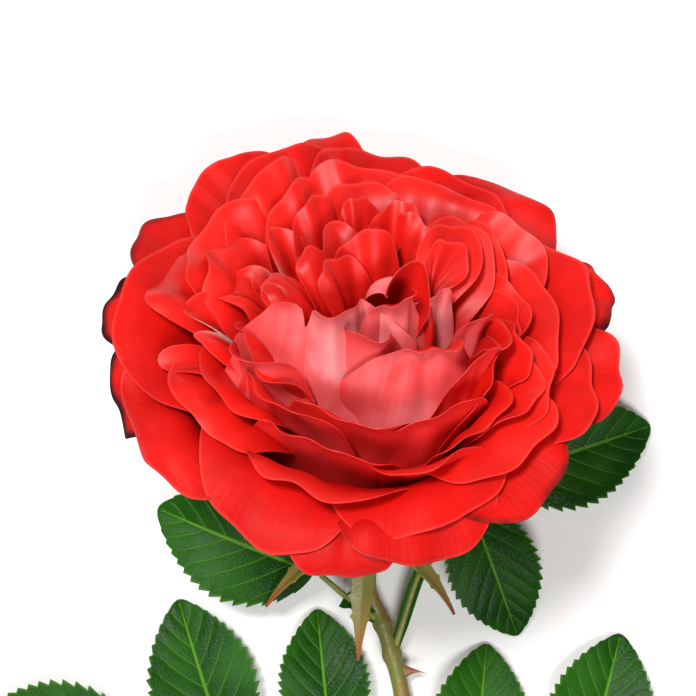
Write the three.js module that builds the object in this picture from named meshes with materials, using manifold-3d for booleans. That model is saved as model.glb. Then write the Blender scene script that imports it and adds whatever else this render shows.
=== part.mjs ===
// A cut garden rose, lying on a table: one very full red bloom on a short, thorny, leafy stem.
// Millimetres, +Z up. The table is Z = 0, the cut end points to -Y and the bloom faces up and towards +Y.
import * as THREE from 'three';
import Module from 'manifold-3d';

const wasm = await Module();
wasm.setup();

// ---- Driving dimensions -------------------------------------------------------------------------

const bloomRadius = 59; // from the bloom's axis to the tips of its guard petals at the sides
const bloomDepth = 60; // from the top of the hip to the guard petals' tips
const faceTilt = THREE.MathUtils.degToRad(50); // between the bloom's axis and the vertical
const petalThickness = 0.5;
const clearance = 0.3; // between neighbouring pieces that touch on the real flower

const hipRadius = 6.2;
const hipLength = 13;
const sepalLength = 27;
const sepalWidth = 7.5;
const sepalThickness = 0.8;

const stemLength = 150; // from the hip to the cut end, along the table
const neckRadius = 1.8; // the stem's radius under the hip
const cutRadius = 2.7; // and at the cut end
const prickleLength = 5;
const leafAt = { leftUpper: 15, rightUpper: 23, left: 37, right: 61 }; // each leaf's distance down the stem from the hip

const leafletLength = 38;
const leafletWidth = 27;
const leafletThickness = 0.7;
const rachisRadius = 0.75;

const paint = (color, roughness) => new THREE.MeshStandardMaterial({ color, roughness, metalness: 0 });
const petalRed = paint(0xe01a14, 0.55);
const stamenGold = paint(0xc98f2c, 0.7);
const calyxGreen = paint(0x6f7f2f, 0.6);
const stemGreen = paint(0x77702a, 0.5);
const leafGreen = paint(0x1f5a17, 0.35);

const zAxis = new THREE.Vector3(0, 0, 1);

// ---- General shapes -----------------------------------------------------------------------------

// A closed body from rows of points: each row is one ring of the skin, and the two ends are closed by a fan.
function skin(rings) {
  const sides = rings[0].length;
  const centreOf = (ring) => ring.reduce((sum, p) => sum.add(p), new THREE.Vector3()).divideScalar(sides);
  const points = [...rings.flat(), centreOf(rings[0]), centreOf(rings.at(-1))];
  const first = rings.length * sides;
  const index = [];
  for (let i = 0; i < sides; i++) {
    const j = (i + 1) % sides;
    index.push(first, j, i);
    for (let row = 0; row < rings.length - 1; row++) {
      const a = row * sides;
      index.push(a + i, a + j, a + sides + j, a + i, a + sides + j, a + sides + i);
    }
    const last = (rings.length - 1) * sides;
    index.push(first + 1, last + i, last + j);
  }
  return new THREE.BufferGeometry().setFromPoints(points).setIndex(index);
}

// A round bar along a curve, with the radius a function of the share of the way along it.
function taperedBar(curve, radiusAt, steps, sides) {
  const frames = curve.computeFrenetFrames(steps, false);
  const rings = [];
  for (let k = 0; k <= steps; k++) {
    const centre = curve.getPointAt(k / steps);
    const ring = [];
    for (let i = 0; i < sides; i++) {
      const turn = (2 * Math.PI * i) / sides;
      ring.push(centre.clone()
        .addScaledVector(frames.normals[k], radiusAt(k / steps) * Math.cos(turn))
        .addScaledVector(frames.binormals[k], radiusAt(k / steps) * Math.sin(turn)));
    }
    rings.push(ring);
  }
  return skin(rings);
}

// A sheet of even thickness over surface(u, v), with u from -1 to 1 across it and v from 0 to 1 along it.
function sheet(surface, across, along, thickness) {
  const small = 1e-3;
  const front = [];
  const back = [];
  for (let row = 0; row <= along; row++) {
    for (let column = 0; column <= across; column++) {
      const u = -1 + (2 * column) / across;
      const v = row / along;
      const du = surface(Math.min(u + small, 1), v).sub(surface(Math.max(u - small, -1), v));
      const dv = surface(u, Math.min(v + small, 1)).sub(surface(u, Math.max(v - small, 0)));
      const half = du.cross(dv).setLength(thickness / 2);
      front.push(surface(u, v).add(half));
      back.push(surface(u, v).sub(half));
    }
  }
  const under = front.length;
  const at = (row, column) => row * (across + 1) + column;
  const index = [];
  const wall = (a, b) => index.push(a, under + a, b, b, under + a, under + b);
  for (let row = 0; row < along; row++) {
    for (let column = 0; column < across; column++) {
      const [a, b] = [at(row, column), at(row, column + 1)];
      const [c, d] = [at(row + 1, column), at(row + 1, column + 1)];
      index.push(a, b, d, a, d, c, under + a, under + d, under + b, under + a, under + c, under + d);
    }
    wall(at(row + 1, 0), at(row, 0));
    wall(at(row, across), at(row + 1, across));
  }
  for (let column = 0; column < across; column++) {
    wall(at(0, column), at(0, column + 1));
    wall(at(along, column + 1), at(along, column));
  }
  return new THREE.BufferGeometry().setFromPoints([...front, ...back]).setIndex(index);
}

function named(name, geometry, material) {
  const mesh = new THREE.Mesh(geometry, material);
  mesh.name = name;
  return mesh;
}

const solid = (geometry) => new wasm.Manifold(new wasm.Mesh({
  numProp: 3,
  vertProperties: new Float32Array(geometry.getAttribute('position').array),
  triVerts: new Uint32Array(geometry.index.array),
}));

function geometryOf(manifold) {
  const mesh = manifold.getMesh();
  return new THREE.BufferGeometry()
    .setAttribute('position', new THREE.BufferAttribute(mesh.vertProperties, 3))
    .setIndex(new THREE.BufferAttribute(mesh.triVerts, 1));
}

// ---- Bloom: petals are patches of nested cups ---------------------------------------------------

// Rings of petals from the guard petals inwards. Each cup runs from the hip to a rim: reach and height are
// the rim's place as shares of bloomRadius and bloomDepth, and rise is the rim's slope in degrees.
const rings = [
  { count: 5, reach: 1.0, height: 0.96, rise: 14, turn: 18 },
  { count: 5, reach: 0.88, height: 1.03, rise: 28, turn: 54 },
  { count: 6, reach: 0.75, height: 1.09, rise: 42, turn: 20 },
  { count: 6, reach: 0.61, height: 1.12, rise: 54, turn: 50 },
  { count: 5, reach: 0.46, height: 1.13, rise: 66, turn: 10 },
  { count: 4, reach: 0.31, height: 1.1, rise: 80, turn: 55 },
  { count: 3, reach: 0.17, height: 1.04, rise: 92, turn: 30 },
];
const backLift = 0.27; // the far side's rim stands this much taller, as a share of its height, and the near side's lower
const backReach = 0.07; // and it stands this much further out
const seatStep = { out: 0.95, down: 1.2 }; // from one ring's seat on the hip to the next ring's
const seatTop = { out: 2.3, up: 7.2 }; // the innermost ring's seat
const tuck = 0.3; // each petal's right edge lies outside its neighbour by this share of the way to the next ring

// A value given ring by ring, read between rings.
function between(values, ring) {
  const low = THREE.MathUtils.clamp(Math.floor(ring), 0, values.length - 2);
  return values[low] + (ring - low) * (values[low + 1] - values[low]);
}

// The cup that a ring's petals lie on, cut at one angle round the axis: a curve of distance from the axis and height.
function cupCurve(ring, turn) {
  const inward = rings.length - 1 - ring;
  const seat = new THREE.Vector2(seatTop.out + seatStep.out * inward, seatTop.up - seatStep.down * inward);
  const share = between(rings.map((r) => r.reach), ring);
  const rim = new THREE.Vector2(
    bloomRadius * share * (1 + backReach * Math.sin(turn)),
    bloomDepth * (between(rings.map((r) => r.height), ring) + backLift * share * Math.sin(turn)),
  );
  const leaving = THREE.MathUtils.degToRad((82 * inward) / (rings.length - 1));
  const arriving = THREE.MathUtils.degToRad(between(rings.map((r) => r.rise), ring));
  const reach = seat.distanceTo(rim);
  const direction = (angle) => new THREE.Vector2(Math.cos(angle), Math.sin(angle));
  return new THREE.CubicBezierCurve(
    seat,
    seat.clone().addScaledVector(direction(Math.PI / 2 - leaving), 0.62 * reach),
    rim.clone().addScaledVector(direction(arriving), -0.42 * reach),
    rim,
  );
}

// One petal: a narrow claw on the hip that widens to a rounded blade.
function petal(ring, turn) {
  const halfSector = Math.PI / rings[ring].count;
  return sheet((u, v) => {
    const cover = 0.34 + 0.76 * Math.sin((Math.PI / 2) * Math.min(1, v / 0.7));
    const angle = turn + halfSector * cover * u;
    const cup = cupCurve(ring - tuck * u * v, angle);
    const profile = cup.getPoint(v * (1 - 0.12 * Math.abs(u) ** 3));
    return new THREE.Vector3(profile.x * Math.cos(angle), profile.x * Math.sin(angle), profile.y);
  }, 6, 5, petalThickness);
}

const bloom = new THREE.Group();
rings.forEach((ring, level) => {
  for (let k = 0; k < ring.count; k++) {
    const turn = THREE.MathUtils.degToRad(ring.turn) + (2 * Math.PI * k) / ring.count;
    bloom.add(named(`petal_${level + 1}_${k + 1}`, petal(level, turn), petalRed));
  }
});

// The hip: an urn whose cone-shaped top carries the petals.
const innermostSeat = seatTop.out - petalThickness - clearance;
const guardSeat = {
  out: seatTop.out + seatStep.out * (rings.length - 1),
  up: seatTop.up - seatStep.down * (rings.length - 1),
};
const shoulder = guardSeat.up - petalThickness - 2 * clearance;
const hipProfile = [
  [0, seatTop.up - 2],
  [innermostSeat - 0.6, seatTop.up - 2],
  [guardSeat.out - 1.9, shoulder + 0.5],
  [hipRadius * 0.92, shoulder],
  [hipRadius, shoulder - 0.25 * hipLength],
  [hipRadius * 0.82, shoulder - 0.6 * hipLength],
  [hipRadius * 0.5, shoulder - 0.88 * hipLength],
  [neckRadius, shoulder - hipLength],
  [0, shoulder - hipLength],
].map(([out, up]) => new THREE.Vector2(out, up));
const hipGeometry = new THREE.LatheGeometry(hipProfile.reverse(), 14);
hipGeometry.rotateX(Math.PI / 2);
bloom.add(named('hip', hipGeometry, calyxGreen));

// Stamens: a short tuft in the well at the bloom's centre.
const stamenRadius = innermostSeat - clearance;
const stamenProfile = [
  [0, seatTop.up - 2 + clearance],
  [stamenRadius * 0.8, seatTop.up - 2 + clearance],
  [stamenRadius, seatTop.up + 10],
  [stamenRadius * 0.7, seatTop.up + 14],
  [0, seatTop.up + 15],
].map(([out, up]) => new THREE.Vector2(out, up));
bloom.add(named('stamens', new THREE.LatheGeometry(stamenProfile, 8).rotateX(Math.PI / 2), stamenGold));

// Sepals: five pointed blades on the hip's shoulder. Two lie flat under the guard petals, between them and the
// table, and three are spread and turned back towards the stem. droop is in degrees below the shoulder's plane.
const sepals = [
  { turn: 54, droop: -4, size: 0.8 },
  { turn: 126, droop: -4, size: 0.76 },
  { turn: 196, droop: 24, size: 1 },
  { turn: 262, droop: 44, size: 1.02 },
  { turn: 338, droop: 32, size: 0.94 },
];
function sepal({ turn, droop, size }) {
  const length = sepalLength * size;
  const start = hipRadius + clearance + sepalThickness;
  return sheet((u, v) => {
    const half = (sepalWidth / 2) * (0.5 + 0.9 * v) * (1 - v) ** 0.75 + 0.35;
    const slope = THREE.MathUtils.degToRad(droop) * (0.6 + 0.5 * v);
    const out = start + length * v * Math.cos(slope);
    const up = shoulder - 1.6 - length * v * Math.sin(slope) - 0.25 * half * u * u;
    return new THREE.Vector3(out, half * u, up).applyAxisAngle(zAxis, THREE.MathUtils.degToRad(turn));
  }, 2, 6, sepalThickness);
}
sepals.forEach((options, k) => bloom.add(named(`sepal_${k + 1}`, sepal(options), calyxGreen)));

// The bloom lies on the backs of its far petals, tipped up by faceTilt.
const hipTop = new THREE.Vector3(2, -0.815 * bloomRadius, 0);
bloom.rotation.x = -faceTilt;
bloom.position.copy(hipTop);
bloom.updateMatrixWorld(true);
hipTop.z = -new THREE.Box3().setFromObject(bloom, true).min.z;
bloom.position.copy(hipTop);
bloom.updateMatrixWorld(true);

// ---- Stem ---------------------------------------------------------------------------------------

const neck = new THREE.Vector3(0, 0, shoulder - hipLength - clearance).applyMatrix4(bloom.matrixWorld);
const downAxis = new THREE.Vector3(0, 0, -1).transformDirection(bloom.matrixWorld);
const stemCurve = new THREE.CatmullRomCurve3([
  neck,
  neck.clone().addScaledVector(downAxis, 5),
  neck.clone().add(new THREE.Vector3(3.5, -13.5, -0.55 * neck.z)),
  new THREE.Vector3(neck.x + 8, neck.y - 30, cutRadius + 1.6),
  new THREE.Vector3(neck.x + 9, neck.y - 57, cutRadius + 1.2),
  new THREE.Vector3(neck.x + 5, neck.y - 0.68 * stemLength, cutRadius + 1.4),
  new THREE.Vector3(neck.x + 7, neck.y - stemLength, cutRadius),
]);
const stemRun = stemCurve.getLength();
const stemRadius = (share) => THREE.MathUtils.lerp(neckRadius, cutRadius, share);

// A prickle: a curved horn whose long foot lies along the stem and whose point turns towards the cut end.
function prickle(share, roll) {
  const along = stemCurve.getTangentAt(share);
  const side = zAxis.clone().cross(along).normalize().applyAxisAngle(along, roll);
  const foot = stemCurve.getPointAt(share).addScaledVector(side, 0.5 * stemRadius(share));
  const height = 0.5 * stemRadius(share) + prickleLength;
  const across = along.clone().cross(side);
  const horn = [];
  for (let k = 0; k <= 4; k++) {
    const t = k / 4;
    const centre = foot.clone().addScaledVector(side, height * t).addScaledVector(along, 0.32 * height * t * t);
    const wide = 0.95 * (1 - t) ** 1.3 + 0.09;
    const long = 2.3 * (1 - t) ** 2 + 0.09;
    const ring = [];
    for (let i = 0; i < 6; i++) {
      const turn = (Math.PI * i) / 3;
      ring.push(centre.clone()
        .addScaledVector(along, long * Math.cos(turn))
        .addScaledVector(across, wide * Math.sin(turn)));
    }
    horn.push(ring.reverse());
  }
  return solid(skin(horn));
}

// Prickles: one above the leaves, and the others on the bare stem below them, each as the share of the way from
// the lowest leaf to the cut end, with its roll round the stem in degrees.
const bareFrom = leafAt.right / stemRun;
const prickles = [
  { share: 0.75 * leafAt.left / stemRun, roll: 8 },
  { share: bareFrom + 0.05 * (1 - bareFrom), roll: 165 },
  { share: bareFrom + 0.2 * (1 - bareFrom), roll: 20 },
  { share: bareFrom + 0.43 * (1 - bareFrom), roll: 140 },
  { share: bareFrom + 0.57 * (1 - bareFrom), roll: -15 },
  { share: bareFrom + 0.8 * (1 - bareFrom), roll: 185 },
];
const thornyStem = prickles.reduce(
  (sum, p) => sum.add(prickle(p.share, THREE.MathUtils.degToRad(p.roll))),
  solid(taperedBar(stemCurve, stemRadius, 40, 10)),
);
const rose = new THREE.Group();
rose.add(bloom, named('stem', geometryOf(thornyStem), stemGreen));

// ---- Leaves: a stalk from the stem, with leaflets along it ---------------------------------------

// One leaflet: an oval with a drawn-out tip, folded a little along its midrib and arched along its length.
// heading is its direction on the table in degrees, and size scales the standard leaflet.
function leaflet({ base, heading, size, lift = 1, arch = 3, fold = 0.16, roll = 0 }) {
  const length = leafletLength * size;
  const half = (leafletWidth / 2) * size;
  const frame = new THREE.Matrix4().makeRotationZ(THREE.MathUtils.degToRad(heading))
    .multiply(new THREE.Matrix4().makeRotationX(THREE.MathUtils.degToRad(roll)));
  return sheet((u, v) => {
    const wide = half * (Math.sin(Math.PI * Math.min(1, v ** 0.8)) ** 0.7 * (1 - 0.12 * v) + 0.06);
    const rise = lift * v + arch * Math.sin(Math.PI * v) + fold * Math.abs(u) * wide;
    return new THREE.Vector3(1.2 + length * v, -wide * u, rise).applyMatrix4(frame).add(base);
  }, 4, 5, leafletThickness);
}

// A whole leaf: the stalk leaves the stem at a distance down it and passes through the given points.
function leaf(name, distance, route, leaflets) {
  const share = distance / stemRun;
  const from = stemCurve.getPointAt(share);
  const away = route[0].clone().sub(from).projectOnPlane(stemCurve.getTangentAt(share)).normalize();
  const start = from.addScaledVector(away, stemRadius(share) + 1.3 * rachisRadius + clearance);
  const stalk = new THREE.CatmullRomCurve3([start, ...route]);
  rose.add(named(`${name}_stalk`, taperedBar(stalk, (t) => rachisRadius * (1.3 - 0.5 * t), 10, 6), stemGreen));
  leaflets.forEach((blade, k) => {
    const heading = THREE.MathUtils.degToRad(blade.heading);
    const off = new THREE.Vector3(Math.cos(heading), Math.sin(heading), 0)
      .multiplyScalar(rachisRadius * 1.3 + clearance);
    const base = (blade.at === undefined ? route.at(-1) : route[blade.at]).clone().add(off);
    rose.add(named(`${name}_leaflet_${k + 1}`, leaflet({ ...blade, base }), leafGreen));
  });
}

// Points beside the bloom, as shares of bloomRadius from the top of the hip, with the height above the table in mm.
const beside = (x, y, height) => new THREE.Vector3(hipTop.x + x * bloomRadius, hipTop.y + y * bloomRadius, height);
// Points beside the stem at a distance down it: x is in leaflet widths and y in leaflet lengths.
const besideStem = (distance, x, y, height) => {
  const p = stemCurve.getPointAt(distance / stemRun);
  return new THREE.Vector3(p.x + x * leafletWidth, p.y + y * leafletLength, height);
};

leaf('right_upper_leaf', leafAt.rightUpper, [beside(0.27, -0.08, 7), beside(0.42, 0.09, 5.5), beside(0.52, 0.2, 4)], [
  { heading: 18, size: 1.02, lift: -3, arch: 2 },
  { at: 1, heading: -70, size: 0.86, lift: -4.6, arch: 3 },
  { at: 1, heading: 96, size: 0.62, lift: -4, arch: 0.4, fold: 0.05 },
]);
leaf('left_upper_leaf', leafAt.leftUpper, [beside(-0.08, -0.3, 8), beside(-0.2, -0.2, 8)], [
  { heading: 158, size: 1.08, lift: -3, arch: 4 },
]);
leaf('left_leaf', leafAt.left, [
  besideStem(leafAt.left, -0.66, -0.24, 5),
  besideStem(leafAt.left, -1.6, -0.29, 4),
  besideStem(leafAt.left, -2.36, -0.22, 3.5),
], [
  { heading: 176, size: 1.1, lift: -3.1, arch: 3 },
  { at: 0, heading: 96, size: 0.84, lift: -4.2, arch: 2.5 },
  { at: 0, heading: -93, size: 0.84, lift: -4.4, arch: 2 },
  { at: 1, heading: 108, size: 1.0, lift: -3.2, arch: 3 },
  { at: 1, heading: -100, size: 0.98, lift: -3.2, arch: 2 },
]);
leaf('right_leaf', leafAt.right, [
  besideStem(leafAt.right, 0.6, 0.08, 5),
  besideStem(leafAt.right, 1.56, 0.1, 4),
  besideStem(leafAt.right, 2.3, 0.06, 3.5),
], [
  { heading: 2, size: 1.06, lift: -3.1, arch: 3 },
  { at: 0, heading: 84, size: 0.92, lift: -4.2, arch: 2.5 },
  { at: 0, heading: -78, size: 0.84, lift: -4.4, arch: 2 },
  { at: 1, heading: 74, size: 1.0, lift: -3.2, arch: 3 },
  { at: 1, heading: -84, size: 0.96, lift: -3.2, arch: 2 },
]);

// The origin is under the middle of the whole rose, on the table.
const box = new THREE.Box3().setFromObject(rose, true);
rose.position.set(-(box.min.x + box.max.x) / 2, -(box.min.y + box.max.y) / 2, -box.min.z);

export default rose;
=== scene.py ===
"""A cut garden rose lying on a table, seen from above: petals, leaves, stem and their finishes."""
import math

import bpy
import numpy as np
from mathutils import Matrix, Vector


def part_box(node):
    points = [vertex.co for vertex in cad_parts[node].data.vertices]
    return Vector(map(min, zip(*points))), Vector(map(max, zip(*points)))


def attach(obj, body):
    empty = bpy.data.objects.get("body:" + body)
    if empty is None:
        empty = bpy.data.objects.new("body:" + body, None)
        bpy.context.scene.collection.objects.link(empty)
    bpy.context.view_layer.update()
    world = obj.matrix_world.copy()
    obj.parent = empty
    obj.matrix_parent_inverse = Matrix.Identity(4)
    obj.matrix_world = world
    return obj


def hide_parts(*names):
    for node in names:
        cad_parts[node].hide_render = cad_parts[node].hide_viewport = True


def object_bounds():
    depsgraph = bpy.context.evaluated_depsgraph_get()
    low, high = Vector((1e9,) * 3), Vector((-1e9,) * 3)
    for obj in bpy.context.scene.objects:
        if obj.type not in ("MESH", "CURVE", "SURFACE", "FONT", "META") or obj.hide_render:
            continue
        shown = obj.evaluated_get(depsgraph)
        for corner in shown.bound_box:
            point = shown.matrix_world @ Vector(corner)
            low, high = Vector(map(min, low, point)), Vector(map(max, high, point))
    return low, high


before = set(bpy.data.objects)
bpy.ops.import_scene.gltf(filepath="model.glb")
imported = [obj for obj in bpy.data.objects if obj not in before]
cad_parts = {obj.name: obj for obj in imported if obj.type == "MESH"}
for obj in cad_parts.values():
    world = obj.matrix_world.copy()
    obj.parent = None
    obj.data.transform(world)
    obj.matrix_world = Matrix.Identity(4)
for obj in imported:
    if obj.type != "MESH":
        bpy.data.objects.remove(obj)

cad_low, cad_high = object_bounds()
MM = 0.001
TAU = 2 * math.pi
rng = np.random.default_rng(7)


# ---- Bloom frame: x across, y towards the far rim, z up the bloom's axis, in mm from the hip's top

FACE_TILT = math.radians(50)
BLOOM_RADIUS = 59
BLOOM_DEPTH = 60
BLOOM_AXES = np.array([
    [1, 0, 0],
    [0, math.cos(FACE_TILT), -math.sin(FACE_TILT)],
    [0, math.sin(FACE_TILT), math.cos(FACE_TILT)],
])
hip_low, hip_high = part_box("hip")
HIP_TOP = np.array((hip_low + hip_high) / 2) / MM + (0, 3.7, 3.08)


def to_table(p):
    """Turns points of the bloom's frame into the table's frame: the axes turned by the tilt, then the
    hip's top."""
    return p @ BLOOM_AXES + HIP_TOP


def smooth(x, low, high):
    """The smooth step from 0 at low to 1 at high."""
    t = np.clip((x - low) / (high - low), 0, 1)
    return t * t * (3 - 2 * t)


# ---- Mesh building -------------------------------------------------------------------------------

def make_object(name, verts, faces, materials, attributes):
    """Puts points in mm and quads or triangles into a mesh piece that rides on the rose."""
    mesh = bpy.data.meshes.new(name)
    mesh.from_pydata((verts * MM).tolist(), [], faces)
    mesh.shade_smooth()
    for key, values in attributes.items():
        layer = mesh.attributes.new(key, "FLOAT", "POINT")
        layer.data.foreach_set("value", np.ascontiguousarray(values, np.float32).ravel())
    piece = bpy.data.objects.new(name, mesh)
    bpy.context.collection.objects.link(piece)
    for material in materials:
        mesh.materials.append(material)
    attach(piece, "root")
    return piece


def grid_faces(rows, columns, start=0):
    """Quads over a grid of points stored row by row, facing along (step in the row) x (step to the next
    row)."""
    at = start + np.arange(rows * columns).reshape(rows, columns)
    return np.stack([at[:-1, :-1], at[:-1, 1:], at[1:, 1:], at[1:, :-1]], -1).reshape(-1, 4)


def sheet_normals(p):
    """Unit normals of a grid of points, from the cross product of its two directions of growth."""
    across = np.gradient(p, axis=1)
    along = np.gradient(p, axis=0)
    n = np.cross(across, along)
    return n / np.maximum(np.linalg.norm(n, axis=-1, keepdims=True), 1e-9)


def sheet_piece(name, p, thickness, materials, attributes):
    """A closed sheet: the grid pushed half a thickness each way along its normals, joined round its
    border."""
    rows, columns = p.shape[:2]
    half = 0.5 * np.broadcast_to(thickness, (rows, columns))[..., None] * sheet_normals(p)
    verts = np.concatenate([(p + half).reshape(-1, 3), (p - half).reshape(-1, 3)])
    count = rows * columns
    outer = grid_faces(rows, columns)
    inner = grid_faces(rows, columns, count)[:, ::-1]
    at = np.arange(count).reshape(rows, columns)
    loop = np.concatenate([at[0, :-1], at[:-1, -1], at[-1, :0:-1], at[:0:-1, 0]])
    following = np.roll(loop, -1)
    border = np.stack([following, loop, loop + count, following + count], -1)
    faces = np.concatenate([outer, inner, border]).tolist()
    both = {key: np.tile(np.broadcast_to(a, (rows, columns)).ravel(), 2) for key, a in attributes.items()}
    both["outside"] = np.repeat([1.0, 0.0], count)
    piece = make_object(name, verts, faces, materials, both)
    mesh = piece.data
    ends = np.empty(2 * len(mesh.edges), np.int32)
    mesh.edges.foreach_get("vertices", ends)
    on_rim = np.zeros(2 * count, bool)
    on_rim[loop] = on_rim[loop + count] = True
    a, b = ends[::2], ends[1::2]
    crisp = mesh.attributes.new("sharp_edge", "BOOLEAN", "EDGE")
    crisp.data.foreach_set("value", on_rim[a] & on_rim[b] & ((a < count) == (b < count)))
    return piece


def swept(centres, wide, deep, sides):
    """Rings round a path: centre + wide x cos + deep x sin, with both ends closed by a fan. Returns
    points, faces and each point's share of the way along."""
    turn = np.arange(sides) * TAU / sides
    cos, sin = np.cos(turn)[None, :, None], np.sin(turn)[None, :, None]
    rings = centres[:, None] + wide[:, None] * cos + deep[:, None] * sin
    n = len(centres)
    verts = np.concatenate([rings.reshape(-1, 3), centres[:1], centres[-1:]])
    at = np.arange(n * sides).reshape(n, sides)
    nxt = np.roll(at, -1, 1)
    faces = np.stack([at[:-1], nxt[:-1], nxt[1:], at[1:]], -1).reshape(-1, 4).tolist()
    faces += np.stack([nxt[0], at[0], np.full(sides, n * sides)], -1).tolist()
    faces += np.stack([at[-1], nxt[-1], np.full(sides, n * sides + 1)], -1).tolist()
    share = np.concatenate([np.repeat(np.linspace(0, 1, n), sides), [0, 1]])
    return verts, faces, share


def path_frames(path, up=(0, 0, 1)):
    """Unit tangents of a path, and two unit side vectors, the second as near to up as it can be."""
    tangent = np.gradient(path, axis=0)
    tangent /= np.linalg.norm(tangent, axis=1, keepdims=True)
    side = np.cross(tangent, np.asarray(up, float))
    side /= np.linalg.norm(side, axis=1, keepdims=True)
    return tangent, side, np.cross(side, tangent)


def tube(path, radius, sides=12):
    """A round bar along a path, with a radius for each of its points."""
    _, side, up = path_frames(path)
    r = np.broadcast_to(radius, len(path))[:, None]
    return swept(path, side * r, up * r, sides)


def smooth_path(points, count):
    """A cubic curve through the points: Hermite pieces whose tangents are the mean slopes at each point,
    spaced by the distance between points."""
    points = np.asarray(points, float)
    knots = np.concatenate([[0], np.cumsum(np.linalg.norm(np.diff(points, axis=0), axis=1))])
    slopes = np.gradient(points, knots, axis=0)
    t = np.linspace(0, knots[-1], count)
    k = np.clip(np.searchsorted(knots, t, side="right") - 1, 0, len(knots) - 2)
    span = (knots[k + 1] - knots[k])[:, None]
    s = ((t - knots[k])[:, None]) / span
    return ((2 * s**3 - 3 * s**2 + 1) * points[k] + (s**3 - 2 * s**2 + s) * span * slopes[k]
            + (3 * s**2 - 2 * s**3) * points[k + 1] + (s**3 - s**2) * span * slopes[k + 1])


def joined(parts):
    """One list of points, faces and shares from several swept parts."""
    verts, faces, shares, start = [], [], [], 0
    for v, f, s in parts:
        verts.append(v)
        faces += [[i + start for i in face] for face in f]
        shares.append(s)
        start += len(v)
    return np.concatenate(verts), faces, np.concatenate(shares)


# ---- Shader building -----------------------------------------------------------------------------

def add(tree, kind, inputs=None, **settings):
    """Adds a shader node with its settings; an input is linked if its value is a socket, and set if
    not."""
    n = tree.nodes.new(kind)
    for key, value in settings.items():
        setattr(n, key, value)
    for key, value in (inputs or {}).items():
        if isinstance(value, bpy.types.NodeSocket):
            tree.links.new(value, n.inputs[key])
        else:
            n.inputs[key].default_value = value
    return n


def math_node(tree, operation, *values):
    """One step of arithmetic on values or sockets."""
    return add(tree, "ShaderNodeMath", dict(enumerate(values)), operation=operation).outputs[0]


def product(tree, *values):
    """The values or sockets multiplied together."""
    total = values[0]
    for value in values[1:]:
        total = math_node(tree, "MULTIPLY", total, value)
    return total


def mix_colour(tree, factor, a, b):
    """Colour a at factor 0, and b at 1."""
    return add(tree, "ShaderNodeMix", {0: factor, 6: a, 7: b}, data_type="RGBA").outputs[2]


def noise(tree, place, scale, detail, rough=0.5):
    """Cloudy noise from 0 to 1."""
    settings = {"Vector": place, "Scale": scale, "Detail": detail, "Roughness": rough}
    return add(tree, "ShaderNodeTexNoise", settings).outputs["Fac"]


def ramp(tree, value, low, high, to_low=0.0, to_high=1.0):
    """A smooth step of a socket: to_low at low and below, to_high at high and beyond."""
    n = add(tree, "ShaderNodeMapRange", {0: value, 1: low, 2: high, 3: to_low, 4: to_high},
            interpolation_type="SMOOTHSTEP")
    return n.outputs[0]


def attribute(tree, name):
    """One of the piece's own values, stored on its points."""
    return add(tree, "ShaderNodeAttribute", attribute_name=name).outputs["Fac"]


def new_group(name, inputs, outputs):
    """A shader node group with named sockets: inputs map a name to a starting value, outputs to a socket
    type."""
    tree = bpy.data.node_groups.new(name, "ShaderNodeTree")
    for key, value in inputs.items():
        kind = "NodeSocketColor" if isinstance(value, tuple) else "NodeSocketFloat"
        socket = tree.interface.new_socket(key, in_out="INPUT", socket_type=kind)
        socket.default_value = value
    for key, kind in outputs.items():
        tree.interface.new_socket(key, in_out="OUTPUT", socket_type=kind)
    return tree, tree.nodes.new("NodeGroupInput").outputs, tree.nodes.new("NodeGroupOutput").inputs


def use_group(tree, group, **inputs):
    """Places a group in a material; its sockets are named here with underscores for spaces."""
    n = tree.nodes.new("ShaderNodeGroup")
    n.node_tree = group
    for key, value in inputs.items():
        socket = n.inputs[key.replace("_", " ")]
        if isinstance(value, bpy.types.NodeSocket):
            tree.links.new(value, socket)
        else:
            socket.default_value = value
    return n.outputs


def new_material(name):
    """An empty material, its node tree and its output."""
    material = bpy.data.materials.new(name)
    material.use_nodes = True
    tree = material.node_tree
    tree.nodes.clear()
    return material, tree, tree.nodes.new("ShaderNodeOutputMaterial")


def make_mottle_group():
    """Slow cloudy variation of a colour in object space, and a fine grain."""
    tree, given, out = new_group("mottle", {
        "Colour": (1, 1, 1, 1), "Other Colour": (0, 0, 0, 1), "Size": 60.0, "Amount": 0.5, "Grain": 900.0,
    }, {"Colour": "NodeSocketColor", "Cloud": "NodeSocketFloat", "Grain": "NodeSocketFloat"})
    place = add(tree, "ShaderNodeTexCoord").outputs["Object"]
    cloud = noise(tree, place, given["Size"], 4.0)
    grain = noise(tree, place, given["Grain"], 2.0)
    share = product(tree, ramp(tree, cloud, 0.35, 0.7), given["Amount"])
    tree.links.new(mix_colour(tree, share, given["Colour"], given["Other Colour"]), out["Colour"])
    tree.links.new(cloud, out["Cloud"])
    tree.links.new(grain, out["Grain"])
    return tree


def make_fan_group():
    """Fine veins that fan out from the base: noise stretched along the sheet, from its across and along
    values."""
    tree, given, out = new_group("vein fan", {"Count": 26.0, "Length": 1.6},
                                 {"Veins": "NodeSocketFloat", "Ripples": "NodeSocketFloat"})
    across = attribute(tree, "across")
    along = attribute(tree, "along")
    lines = add(tree, "ShaderNodeCombineXYZ", {
        "X": product(tree, across, given["Count"]), "Y": product(tree, along, given["Length"])}).outputs[0]
    bands = add(tree, "ShaderNodeCombineXYZ", {
        "X": product(tree, across, 5.0), "Y": product(tree, along, 34.0)}).outputs[0]
    tree.links.new(noise(tree, lines, 1.0, 3.0, 0.6), out["Veins"])
    tree.links.new(noise(tree, bands, 1.0, 2.0), out["Ripples"])
    return tree


MOTTLE = make_mottle_group()
VEIN_FAN = make_fan_group()


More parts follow.
